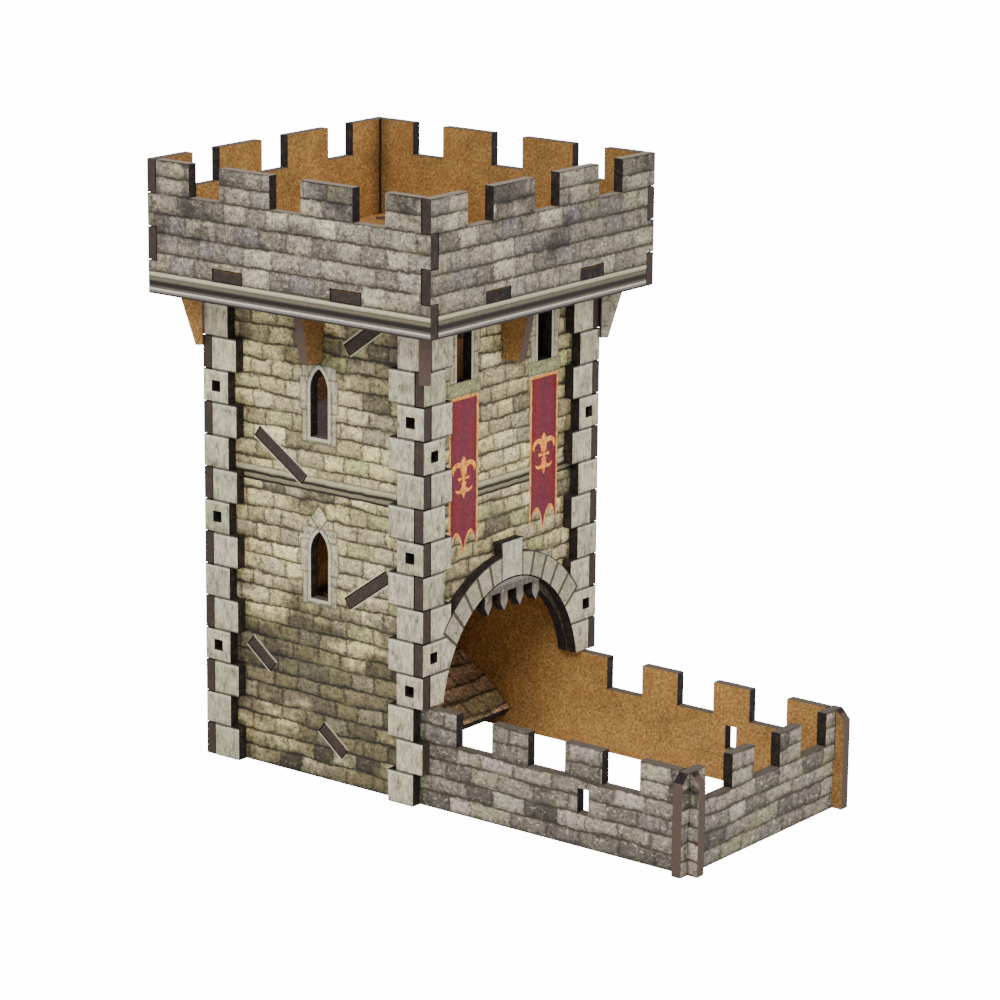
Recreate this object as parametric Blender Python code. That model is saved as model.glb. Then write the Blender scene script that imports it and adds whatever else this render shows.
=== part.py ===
"""Castle dice tower cut from 3 mm hardboard: a tower with sloped baffles, a crown and a walled tray.

Lengths below are millimetres, measured from the tower's centre line (x to the right, y to the back,
z up from the table). The tray lies in front of the tower, towards -y.
"""
import math

import bmesh
import bpy
from mathutils import Euler

MM = 0.001

# Stock and clearance
BOARD = 3.0
GAP = 0.3
ROW = 9.4                       # height of one course of stones

# Tower box: four walls, inside which the dice fall
BOX_OUT = 36.2                  # half width over the box walls
BOX_IN = BOX_OUT - BOARD
BOX_TOP = 140.3
BAND_LEVELS = [0.0] + [n * ROW for n in (3, 5, 7, 9, 11, 13)] + [BOX_TOP]

# Facing: a second layer of quoin stones glued on the box
FACE_OUT = 39.5
FACE_IN = FACE_OUT - BOARD
FACE_ROWS = 15
STONE_NEAR = 27.3               # inner edges of alternate quoin stones
STONE_FAR = 30.3
HOLE_SIZE = 3.0
HOLE_AT = 34.8
SIDE_HOLE_ROWS = (3, 7, 11)
FRONT_HOLE_ROWS = (4, 10)

# Doorway arch, drawn as ellipses about one centre
ARCH_CENTRE_Z = 22.8
ARCH_HALF = 30.8
ARCH_RISE = 35.0
WALL_ARCH_RISE = 32.0
RING_HALF = 38.4
RING_RISE = 41.8
KEYSTONE_TOP = 68.3
KEYSTONE_HALF_TOP = 5.1
KEYSTONE_HALF_FOOT = 4.4

# Portcullis in the head of the arch
SPIKE_PITCH = 7.2
SPIKE_WIDTH = 3.2
SPIKE_SHOULDER = 51.2
SPIKE_TIP = 48.7
PORTCULLIS_BAR = 54.2

# Pointed windows
WINDOW_HALF = 3.15
WINDOW_WALL = 13.5              # straight part of the sides
WINDOW_RISE = 6.0
SIDE_SILLS = (51.9, 97.9)
FRONT_SILL = 116.2
FRONT_WINDOW_X = 18.1

# Sloped boards inside: centre of the main tab (y, z), slope, reach up and down the slope, tabs
UPPER_BAFFLE = dict(centre=(-15.6, 128.1), slope=36.0, up=16.4, down=18.0,
                    tabs=((0.0, 13.6),), falls_back=True)
MIDDLE_BAFFLE = dict(centre=(13.9, 91.0), slope=33.5, up=21.6, down=22.6,
                     tabs=((0.0, 20.2),), falls_back=False)
LOWER_BAFFLE = dict(centre=(-17.3, 57.7), slope=35.4, up=17.6, down=20.0,
                    tabs=((0.0, 17.4),), falls_back=True)
EXIT_RAMP = dict(centre=(8.25, 22.05), slope=38.0, up=28.6, down=27.3,
                 tabs=((16.6, 10.3), (-16.6, 10.3)), falls_back=False)

# Crown
CROWN_OUT = 50.0
CROWN_IN = CROWN_OUT - BOARD
CROWN_BASE = 134.2
CROWN_LEVELS = [CROWN_BASE + n * ROW for n in range(5)]
MERLON = 18.0
CRENEL = 11.0
RING_PLATE_Z = 140.6
RING_PLATE_HOLE = 31.0
RING_TAB_AT = 21.0
RING_TAB = 10.2

# Corbels that carry the crown
CORBEL_BASE = 119.4
CORBEL_LEAN = 0.204             # how far the outer edge leans out for each millimetre of height
WALL_CORBEL_FOOT = 42.3
WALL_CORBEL_TAB = (125.0, 135.0)
CORNER_CORBEL_IN = FACE_OUT * math.sqrt(2) + GAP / 3    # along the diagonal, just clear of the quoins' corner
CORNER_CORBEL_FOOT = 58.0
CORNER_CORBEL_LEAN = 0.29
CORNER_TENON = (56.6, 60.9)

# Tray
TRAY_TOP = 3 * ROW
TRAY_CRENEL = 2 * ROW
END_WALL_Y = -124.2             # middle of the end wall's thickness
STUB = 3.0                      # how far each board runs past the one it crosses
CHAMFER = STUB - GAP            # cut off each stub's upper corner at 45 degrees
SIDE_MERLON_START = -48.6
SIDE_MERLON_PITCH = 12.25
SLIT_HALF = 1.8
SLIT_Z = (9.4, 16.4)
END_MERLON = (6.15, 16.45)
END_CORNER_MERLON = 28.8
LAP_LEVEL = TRAY_TOP / 2

# The whole model is shifted so that its bounding box is centred on the origin
FRONT_REACH = END_WALL_Y - BOARD / 2 - STUB
TOWER_Y = -(FRONT_REACH + CROWN_OUT) / 2


def material(name, colour, roughness):
    """A plain painted or bare board finish."""
    made = bpy.data.materials.new(name)
    made.use_nodes = True
    shader = made.node_tree.nodes["Principled BSDF"]
    shader.inputs["Base Color"].default_value = (*colour, 1.0)
    shader.inputs["Roughness"].default_value = roughness
    shader.inputs["Metallic"].default_value = 0.0
    return made


def rectangle(u0, u1, v0, v1):
    return [(u0, v0), (u1, v0), (u1, v1), (u0, v1)]


def turned_rectangle(centre, length, height, angle):
    """A rectangle about a centre, its length turned by an angle in degrees."""
    cos_a = math.cos(math.radians(angle))
    sin_a = math.sin(math.radians(angle))
    corners = rectangle(-length / 2, length / 2, -height / 2, height / 2)
    return [(centre[0] + u * cos_a - v * sin_a, centre[1] + u * sin_a + v * cos_a) for u, v in corners]


def ellipse_height(half, rise, x):
    return ARCH_CENTRE_Z + rise * math.sqrt(1.0 - (x / half) ** 2)


def ellipse_reach(half, rise, z):
    return half * math.sqrt(1.0 - ((z - ARCH_CENTRE_Z) / rise) ** 2)


def ellipse_arc(half, rise, x_start, x_end, steps=40):
    """Points over the arch from x_start to x_end, evenly spaced in angle."""
    start = math.acos(x_start / half)
    end = math.acos(x_end / half)
    angles = [start + (end - start) * n / steps for n in range(steps + 1)]
    return [(half * math.cos(a), ARCH_CENTRE_Z + rise * math.sin(a)) for a in angles]


def lancet(x, sill, steps=8):
    """A pointed window: straight sides under two arcs that meet at the top."""
    spring = sill + WINDOW_WALL
    radius = (WINDOW_RISE ** 2 + WINDOW_HALF ** 2) / (2 * WINDOW_HALF)
    top = math.asin(WINDOW_RISE / radius)
    arc = [(WINDOW_HALF - radius + radius * math.cos(top * n / steps),
            spring + radius * math.sin(top * n / steps)) for n in range(steps + 1)]
    right = [(x + u, z) for u, z in arc]
    left = [(x - u, z) for u, z in reversed(arc[:-1])]
    return [(x - WINDOW_HALF, sill), (x + WINDOW_HALF, sill)] + right + left


def stepped_edge(levels, reaches, gap=GAP):
    """Points up an edge that steps between reaches; a finger gives up half the gap at each end."""
    points = [(reaches[0], levels[0])]
    for level, below, above in zip(levels[1:-1], reaches, reaches[1:]):
        if below == above:
            continue
        step = level - gap / 2 if below > above else level + gap / 2
        points += [(below, step), (above, step)]
    points.append((reaches[-1], levels[-1]))
    return points


def mirrored(points):
    """The same points on the other side of the centre line, in the opposite order."""
    return [(-u, v) for u, v in reversed(points)]


def cut_board(name, outline, finish, holes=(), thickness=BOARD):
    """One flat board: an outline with holes, extruded evenly about its middle."""
    bm = bmesh.new()
    for loop in [outline, *holes]:
        verts = [bm.verts.new((u * MM, v * MM, -thickness / 2 * MM)) for u, v in loop]
        for first, second in zip(verts, verts[1:] + verts[:1]):
            bm.edges.new((first, second))
    bmesh.ops.triangle_fill(bm, edges=bm.edges[:], use_beauty=True)
    geometry = bmesh.ops.extrude_face_region(bm, geom=bm.faces[:])["geom"]
    raised = [item for item in geometry if isinstance(item, bmesh.types.BMVert)]
    bmesh.ops.translate(bm, vec=(0, 0, thickness * MM), verts=raised)
    bmesh.ops.recalc_face_normals(bm, faces=bm.faces[:])
    mesh = bpy.data.meshes.new(name)
    bm.to_mesh(mesh)
    bm.free()
    mesh.materials.append(finish)
    made = bpy.data.objects.new(name, mesh)
    bpy.context.scene.collection.objects.link(made)
    made.parent = FRAME
    return made


def stand(board, turn, x=0.0, y=0.0):
    """Stand a board upright, its width turned from +x by an angle in degrees."""
    board.rotation_euler = Euler((math.radians(90), 0, math.radians(turn)))
    board.location = (x * MM, y * MM, 0)


# ---------------------------------------------------------------- tower box

def slope_slots():
    """Slots in the side boards for the tabs of every sloped board."""
    slots = []
    for spec in (UPPER_BAFFLE, MIDDLE_BAFFLE, LOWER_BAFFLE, EXIT_RAMP):
        angle = 180 - spec["slope"] if spec["falls_back"] else spec["slope"]
        cos_a = math.cos(math.radians(angle))
        sin_a = math.sin(math.radians(angle))
        for along, length in spec["tabs"]:
            centre = (spec["centre"][0] + along * cos_a, spec["centre"][1] + along * sin_a)
            slots.append(turned_rectangle(centre, length + 2 * GAP, BOARD + 2 * GAP, angle))
    return slots


def corbel_slot(centre=0.0):
    low, high = WALL_CORBEL_TAB
    half = BOARD / 2 + GAP
    return rectangle(centre - half, centre + half, low - GAP, high + GAP)


def band_reaches(owner):
    """Reach of a box wall's edge in each band: full where it owns the corner, else short of it."""
    return [BOX_OUT if n % 2 == owner else BOX_IN - GAP for n in range(len(BAND_LEVELS) - 1)]


def side_board_outline():
    """Tower wall and tray wall in one board, seen from the side (y, z)."""
    tip = FRONT_REACH
    slot_back = END_WALL_Y + BOARD / 2 + GAP
    slot_front = END_WALL_Y - BOARD / 2 - GAP
    slot_floor = LAP_LEVEL - GAP / 2
    back = stepped_edge(BAND_LEVELS, band_reaches(0))
    front = [(-u, z) for u, z in reversed(back) if z > TRAY_TOP]
    front += [(-(BOX_IN - GAP), TRAY_TOP)]
    merlons = []
    for n in range(3):
        start = SIDE_MERLON_START - 2 * n * SIDE_MERLON_PITCH
        end = start - SIDE_MERLON_PITCH
        merlons += [(start, TRAY_TOP), (start, TRAY_CRENEL), (end, TRAY_CRENEL), (end, TRAY_TOP)]
    joint = [(slot_back, TRAY_TOP), (slot_back, slot_floor), (slot_front, slot_floor)]
    stub = [(slot_front, TRAY_TOP), (tip, TRAY_TOP - CHAMFER)]
    return [(tip, 0.0)] + back + front + merlons + joint + stub


def side_boards():
    slit_y = SIDE_MERLON_START - 3.5 * SIDE_MERLON_PITCH
    holes = [lancet(0.0, sill) for sill in SIDE_SILLS]
    holes += slope_slots()
    holes.append(corbel_slot())
    holes.append(rectangle(slit_y - SLIT_HALF, slit_y + SLIT_HALF, *SLIT_Z))
    for name, side in (("left_side_board", -1), ("right_side_board", 1)):
        board = cut_board(name, side_board_outline(), WALL_STONE, holes)
        stand(board, 90, x=side * (BOX_IN + BOX_OUT) / 2)


def front_wall():
    """Front of the box: it stands on the side boards and is open under the arch."""
    foot = TRAY_TOP + GAP
    levels = [foot] + BAND_LEVELS[2:]
    right = stepped_edge(levels, band_reaches(1)[1:])
    reach = ellipse_reach(ARCH_HALF, WALL_ARCH_RISE, foot)
    arch = ellipse_arc(ARCH_HALF, WALL_ARCH_RISE, -reach, reach)
    holes = [lancet(side * FRONT_WINDOW_X, FRONT_SILL) for side in (-1, 1)]
    holes.append(corbel_slot())
    board = cut_board("front_wall", mirrored(right) + arch + right, WALL_STONE, holes)
    stand(board, 0, y=-(BOX_IN + BOX_OUT) / 2)


def back_wall():
    right = stepped_edge(BAND_LEVELS, band_reaches(1))
    board = cut_board("back_wall", mirrored(right) + right, WALL_STONE, [corbel_slot()])
    stand(board, 0, y=(BOX_IN + BOX_OUT) / 2)


# ---------------------------------------------------------------- sloped boards

def sloped_board(name, spec, finish):
    """A board across the tower, held by tabs through both side boards."""
    width = BOX_IN - GAP
    right = [(width, -spec["down"])]
    for along, length in sorted(spec["tabs"]):
        right += [(width, along - length / 2), (BOX_OUT, along - length / 2)]
        right += [(BOX_OUT, along + length / 2), (width, along + length / 2)]
    right.append((width, spec["up"]))
    board = cut_board(name, right + mirrored(right), finish)
    tilt = 180 - spec["slope"] if spec["falls_back"] else spec["slope"]
    board.rotation_euler = Euler((math.radians(tilt), 0, 0))
    board.location = (0, spec["centre"][0] * MM, spec["centre"][1] * MM)


# ---------------------------------------------------------------- facing

def facing_outer_edge(owner, foot=0.0):
    """Outer edge of a quoin column: fingers on alternate rows, up to the top of the walls."""
    first = round(foot / ROW)
    levels = [max(foot, n * ROW) for n in range(first, FACE_ROWS)] + [BOX_TOP]
    reaches = [FACE_OUT if n % 2 == owner else FACE_IN - GAP for n in range(first, FACE_ROWS)]
    return stepped_edge(levels, reaches)


def facing_inner_edge(owner, foot=0.0):
    """Inner edge of a quoin column: the stones shift by one board thickness from row to row."""
    first = int(foot / ROW)
    levels = [max(foot, n * ROW) for n in range(first, FACE_ROWS)] + [BOX_TOP]
    reaches = [STONE_FAR if n % 2 == owner else STONE_NEAR for n in range(first, FACE_ROWS)]
    return stepped_edge(levels, reaches, gap=0.0)


def putlog_holes(rows, side):
    half = HOLE_SIZE / 2
    across = (side * HOLE_AT - half, side * HOLE_AT + half)
    return [rectangle(*across, (n + 0.5) * ROW - half, (n + 0.5) * ROW + half) for n in rows]


def quoin_strips():
    """Quoin columns on the left, right and back faces, two to a face."""
    faces = (("left", 90, -1, 1, SIDE_HOLE_ROWS, ("front", "back")),
             ("right", 90, 1, 1, SIDE_HOLE_ROWS, ("front", "back")),
             ("back", 0, 1, 0, FRONT_HOLE_ROWS, ("left", "right")))
    for face, turn, out, owner, rows, ends in faces:
        column = facing_outer_edge(owner) + list(reversed(facing_inner_edge(owner)))
        for side, end in zip((-1, 1), ends):
            outline = column if side > 0 else mirrored(column)
            holes = putlog_holes(rows, side)
            board = cut_board(f"{face}_quoin_strip_{end}", outline, QUOIN_STONE, holes)
            middle = out * (FACE_IN + FACE_OUT) / 2
            stand(board, turn, x=middle if turn else 0.0, y=0.0 if turn else middle)


def front_facing():
    """Both front quoin columns and the arch ring with its keystone, in one board."""
    foot = TRAY_TOP + GAP
    meet_z = ellipse_height(RING_HALF, RING_RISE, STONE_NEAR)
    outer = facing_outer_edge(0, foot)
    inner = [(u, z) for u, z in reversed(facing_inner_edge(0)) if z > meet_z]
    ring = ellipse_arc(RING_HALF, RING_RISE, STONE_NEAR, KEYSTONE_HALF_FOOT, 16)
    right = outer + inner + ring + [(KEYSTONE_HALF_TOP, KEYSTONE_TOP)]
    reach = ellipse_reach(ARCH_HALF, ARCH_RISE, foot)
    arch = ellipse_arc(ARCH_HALF, ARCH_RISE, -reach, reach)
    holes = putlog_holes(FRONT_HOLE_ROWS, -1) + putlog_holes(FRONT_HOLE_ROWS, 1)
    board = cut_board("front_facing", arch + right + mirrored(right), QUOIN_STONE, holes)
    stand(board, 0, y=-(FACE_IN + FACE_OUT) / 2)


def portcullis():
    """A bar under the arch with four pointed spikes."""
    half = ARCH_HALF - GAP
    rise = ARCH_RISE - GAP
    reach = ellipse_reach(half, rise, PORTCULLIS_BAR)
    teeth = []
    for n in range(4):
        middle = (n - 1.5) * SPIKE_PITCH
        left = middle - SPIKE_WIDTH / 2
        right = middle + SPIKE_WIDTH / 2
        teeth += [(left, PORTCULLIS_BAR), (left, SPIKE_SHOULDER), (middle, SPIKE_TIP)]
        teeth += [(right, SPIKE_SHOULDER), (right, PORTCULLIS_BAR)]
    head = ellipse_arc(half, rise, reach, -reach, 24)
    board = cut_board("portcullis", teeth + head, IRON_PRINT)
    stand(board, 0, y=-(FACE_IN + FACE_OUT) / 2)


# ---------------------------------------------------------------- crown

def crown_outline(owner):
    """A battlemented wall with fingers at both ends."""
    reaches = [CROWN_OUT if n % 2 == owner else CROWN_IN - GAP for n in range(4)]
    right = stepped_edge(CROWN_LEVELS, reaches)
    floor = CROWN_LEVELS[3]
    top = CROWN_LEVELS[4]
    battlements = []
    for n in (1, 0, -1):
        middle = n * (MERLON + CRENEL)
        battlements += [(middle + CRENEL / 2, top), (middle + CRENEL / 2, floor)]
        battlements += [(middle - CRENEL / 2, floor), (middle - CRENEL / 2, top)]
    return right + battlements + mirrored(right)


def ring_tab_slots():
    half = RING_TAB / 2 + GAP
    return [rectangle(side * RING_TAB_AT - half, side * RING_TAB_AT + half,
                      RING_PLATE_Z - GAP, RING_PLATE_Z + BOARD + GAP) for side in (-1, 1)]


def crown_walls():
    middle = (CROWN_IN + CROWN_OUT) / 2
    walls = (("crown_front_wall", 1, 0, 0.0, -middle), ("crown_back_wall", 1, 0, 0.0, middle),
             ("crown_left_wall", 0, 90, -middle, 0.0), ("crown_right_wall", 0, 90, middle, 0.0))
    for name, owner, turn, x, y in walls:
        stand(cut_board(name, crown_outline(owner), CROWN_STONE, ring_tab_slots()), turn, x=x, y=y)


def ring_plate():
    """Floor of the crown: tabs into its walls, a square mouth, and slots for the corner corbels."""
    edge = CROWN_IN - GAP
    side = [(edge, -edge)]
    for middle in (-RING_TAB_AT, RING_TAB_AT):
        side += [(edge, middle - RING_TAB / 2), (CROWN_OUT, middle - RING_TAB / 2)]
        side += [(CROWN_OUT, middle + RING_TAB / 2), (edge, middle + RING_TAB / 2)]
    outline = list(side)
    for _ in range(3):
        side = [(-v, u) for u, v in side]
        outline += side
    low, high = CORNER_TENON
    along = (low + high) / 2 * math.sqrt(0.5)
    holes = [rectangle(-RING_PLATE_HOLE, RING_PLATE_HOLE, -RING_PLATE_HOLE, RING_PLATE_HOLE)]
    length = high - low + 2 * GAP
    for sx, sy in ((1, 1), (-1, 1), (-1, -1), (1, -1)):
        centre = (sx * along, sy * along)
        holes.append(turned_rectangle(centre, length, BOARD + 2 * GAP, 45 * sx * sy))
    board = cut_board("crown_floor", outline, BARE_BOARD, holes)
    board.location = (0, 0, (RING_PLATE_Z + BOARD / 2) * MM)


def corbels():
    """Brackets under the crown: one in the middle of each face, one on each corner."""
    height = BOX_TOP - CORBEL_BASE
    low, high = WALL_CORBEL_TAB
    root = BOX_OUT + GAP
    wall = [(root, CORBEL_BASE), (WALL_CORBEL_FOOT, CORBEL_BASE),
            (WALL_CORBEL_FOOT + CORBEL_LEAN * height, BOX_TOP), (root, BOX_TOP),
            (root, high), (BOX_IN, high), (BOX_IN, low), (root, low)]
    for name, turn in (("right", 0), ("back", 90), ("left", 180), ("front", 270)):
        stand(cut_board(f"{name}_corbel", wall, BARE_BOARD), turn)
    tenon_low, tenon_high = CORNER_TENON
    corner = [(CORNER_CORBEL_IN, CORBEL_BASE), (CORNER_CORBEL_FOOT, CORBEL_BASE),
              (CORNER_CORBEL_FOOT + CORNER_CORBEL_LEAN * height, BOX_TOP), (tenon_high, BOX_TOP),
              (tenon_high, RING_PLATE_Z + BOARD), (tenon_low, RING_PLATE_Z + BOARD),
              (tenon_low, BOX_TOP), (CORNER_CORBEL_IN, BOX_TOP)]
    corners = (("back_right", 45), ("back_left", 135), ("front_left", 225), ("front_right", 315))
    for name, turn in corners:
        stand(cut_board(f"{name}_corner_corbel", corner, QUOIN_STONE), turn)


# ---------------------------------------------------------------- tray

def tray_end_wall():
    """Far wall of the tray: it drops over the side boards in two cross-laps and can be lifted out."""
    tip = BOX_OUT + STUB + GAP
    slot_in = BOX_IN - GAP
    slot_out = BOX_OUT + GAP
    slot_top = LAP_LEVEL + GAP / 2
    near, far = END_MERLON
    right = [(slot_in, 0.0), (slot_in, slot_top), (slot_out, slot_top), (slot_out, 0.0), (tip, 0.0),
             (tip, TRAY_TOP - CHAMFER), (tip - CHAMFER, TRAY_TOP), (END_CORNER_MERLON, TRAY_TOP),
             (END_CORNER_MERLON, TRAY_CRENEL), (far, TRAY_CRENEL), (far, TRAY_TOP), (near, TRAY_TOP),
             (near, TRAY_CRENEL)]
    board = cut_board("tray_end_wall", right + mirrored(right), TRAY_STONE)
    stand(board, 0, y=END_WALL_Y)


def clear_scene():
    for item in list(bpy.data.objects):
        bpy.data.objects.remove(item, do_unlink=True)


clear_scene()

FRAME = bpy.data.objects.new("tower_frame", None)
FRAME.location = (0, TOWER_Y * MM, 0)
bpy.context.scene.collection.objects.link(FRAME)

WALL_STONE = material("printed_wall_stone", (0.30, 0.28, 0.19), 0.8)
QUOIN_STONE = material("printed_quoin_stone", (0.42, 0.42, 0.33), 0.8)
CROWN_STONE = material("printed_crown_stone", (0.36, 0.34, 0.27), 0.8)
TRAY_STONE = material("printed_tray_stone", (0.33, 0.31, 0.25), 0.8)
IRON_PRINT = material("printed_portcullis", (0.33, 0.30, 0.33), 0.75)
BARE_BOARD = material("bare_hardboard", (0.36, 0.18, 0.06), 0.7)

side_boards()
front_wall()
back_wall()
sloped_board("upper_baffle", UPPER_BAFFLE, BARE_BOARD)
sloped_board("middle_baffle", MIDDLE_BAFFLE, BARE_BOARD)
sloped_board("lower_baffle", LOWER_BAFFLE, BARE_BOARD)
sloped_board("exit_ramp", EXIT_RAMP, TRAY_STONE)
quoin_strips()
front_facing()
portcullis()
crown_walls()
ring_plate()
corbels()
tray_end_wall()
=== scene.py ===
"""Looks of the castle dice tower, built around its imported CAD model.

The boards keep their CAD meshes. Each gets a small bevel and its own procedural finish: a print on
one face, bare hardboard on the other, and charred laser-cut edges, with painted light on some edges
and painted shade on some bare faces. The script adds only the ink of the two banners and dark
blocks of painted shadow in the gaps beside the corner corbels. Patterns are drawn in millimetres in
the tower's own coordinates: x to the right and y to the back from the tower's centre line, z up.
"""
import math

import bmesh
import bpy
from mathutils import Matrix, Vector


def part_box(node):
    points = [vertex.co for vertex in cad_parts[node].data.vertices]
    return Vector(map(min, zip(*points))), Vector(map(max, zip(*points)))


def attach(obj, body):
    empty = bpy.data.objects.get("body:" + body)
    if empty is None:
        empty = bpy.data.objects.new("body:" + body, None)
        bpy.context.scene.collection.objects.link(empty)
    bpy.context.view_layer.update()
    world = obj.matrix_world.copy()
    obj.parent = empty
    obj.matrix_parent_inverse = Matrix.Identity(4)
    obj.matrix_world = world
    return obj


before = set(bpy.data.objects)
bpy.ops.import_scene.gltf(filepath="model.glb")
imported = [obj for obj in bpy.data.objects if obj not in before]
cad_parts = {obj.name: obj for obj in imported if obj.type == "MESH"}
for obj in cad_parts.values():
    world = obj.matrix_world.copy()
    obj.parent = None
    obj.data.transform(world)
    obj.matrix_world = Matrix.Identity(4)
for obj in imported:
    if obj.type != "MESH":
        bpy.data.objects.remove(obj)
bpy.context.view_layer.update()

MM = 0.001
X, Y, Z = (1, 0, 0), (0, 1, 0), (0, 0, 1)

# Places read from the frame, in metres
WALL_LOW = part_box("front_wall")[0]
BACK_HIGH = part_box("back_wall")[1]
FACING_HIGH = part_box("front_facing")[1]
CROWN_LOW, CROWN_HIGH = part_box("crown_front_wall")
END_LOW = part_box("tray_end_wall")[0]
CENTRE_Y = (WALL_LOW.y + BACK_HIGH.y) / 2

# The same in millimetres, from the tower's centre line or from the table
WALL_HALF = (CENTRE_Y - WALL_LOW.y) / MM
FACING_HALF = FACING_HIGH.x / MM
CROWN_HALF = CROWN_HIGH.x / MM
CROWN_FOOT = CROWN_LOW.z / MM
CROWN_TOP = CROWN_HIGH.z / MM
TRAY_START = -WALL_HALF
TRAY_END = (END_LOW.y - CENTRE_Y) / MM
BOARD = 3.0

# Courses of stone
ROW = 9.4                                  # height of one quoin stone
COURSE = ROW / 2                           # height of a rubble course: two to a quoin stone
STONE = 8.6                                # mean length of a rubble stone
TRAY_STONE = 11.0
RAMP_COURSE = 5.4
RAMP_STONE = 13.0
SOOT_BANDS = (60.0, 104.0)                 # the tower walls are dirtiest below and above these heights
STAINS = (((-22.0, 122.0), (15.0, 20.0)),  # smoke stains on a side wall: centre and reach of each
          ((-5.0, 46.5), (16.0, 7.0)),
          ((22.0, 35.0), (11.0, 9.0)))

# Windows: heights of their sills, half width, straight part of the sides, and rise of the point
SIDE_SILLS = (51.9, 97.9)
FRONT_SILL = 116.2
FRONT_WINDOW_X = 18.1
WINDOW_HALF = 3.15
WINDOW_WALL = 13.5
WINDOW_RISE = 6.0
FRAME_SIDE = 3.0                           # width of the dressed blocks beside a window
FRAME_MIDDLE = 9.4                         # the frame's middle, above the sill
FRAME_HALF = 11.0
SILL_BLOCK_Z = 114.2
SILL_BLOCK_HALF = (7.4, 2.0)
HOOD_HALF = (3.0, 3.6)
HOOD_MIDDLE = 23.4                         # above the sill

# String course round the tower, and the crown above it
STRING_COURSE = 84.6
STRING_HEIGHT = 4.4
CORNICE_HEIGHT = 6.3
PARAPET = CROWN_TOP - ROW - CROWN_FOOT - CORNICE_HEIGHT
CROWN_COURSE = PARAPET / 4                 # the crown's courses, taller than the tower's

# Doorway arch: an ellipse from its spring to the keystone, in degrees from the horizontal
ARCH_CENTRE_Z = 22.8
ARCH_HALF = 30.8
ARCH_RISE = 35.0
ARCH_SPRING = 36.2
RING_HALF = 38.4
RING_RISE = 41.8
KEYSTONE_HALF = 4.4
KEYSTONE_TURN = 83.4
VOUSSOIRS = 5

# Sloped boards: the slope's angle in a side wall, and the tabs' centres (y, z) and lengths
UPPER_TURN, MIDDLE_TURN, LOWER_TURN, RAMP_TURN = 144.0, 33.5, 144.6, 38.0
TABS = (((-15.6, 128.1), UPPER_TURN, 13.6), ((13.9, 91.0), MIDDLE_TURN, 20.2),
        ((-17.3, 57.7), LOWER_TURN, 17.4), ((21.33, 32.27), RAMP_TURN, 10.3),
        ((-4.83, 11.83), RAMP_TURN, 10.3))
BAFFLE_PRINT_END = 75.2                    # up the middle baffle's slope

# Camera: where the tower is seen from, in metres from the tower's centre line
CAMERA_PLACE = (-0.7976, -0.6488, 0.3398)
CAMERA_YAW = 52.416
CAMERA_DIP = 14.526
CAMERA_ROLL = 0.551
CAMERA_LENS = 134.96
SENSOR = 36.0


def srgb(red, green, blue):
    """A colour given in 0 to 255 as displayed, as linear values."""
    def linear(value):
        share = value / 255
        return share / 12.92 if share <= 0.04045 else ((share + 0.055) / 1.055) ** 2.4
    return (linear(red), linear(green), linear(blue), 1.0)


# ---------------------------------------------------------------- shader arithmetic

class Num:
    """A number or colour in a shader, which can be added and compared like any other."""

    def __init__(self, paint, socket):
        self.paint = paint
        self.socket = socket

    def math(self, operation, *others):
        return self.paint.math(operation, self, *others)

    def __add__(self, other):
        return self.math("ADD", other)

    def __sub__(self, other):
        return self.math("SUBTRACT", other)

    def __rsub__(self, other):
        return self.paint.math("SUBTRACT", other, self)

    def __mul__(self, other):
        return self.math("MULTIPLY", other)

    def __truediv__(self, other):
        return self.math("DIVIDE", other)

    def __abs__(self):
        return self.math("ABSOLUTE")

    __radd__ = __add__
    __rmul__ = __mul__

    def floor(self):
        return self.math("FLOOR")

    def least(self, other):
        return self.math("MINIMUM", other)

    def most(self, other):
        return self.math("MAXIMUM", other)

    def between(self, low, high):
        """0 below low, 1 above high and a smooth rise between; the other way round if low is higher."""
        return self.paint.node("ShaderNodeMapRange", {"Value": self, "From Min": low, "From Max": high},
                               interpolation_type="SMOOTHSTEP")


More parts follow.
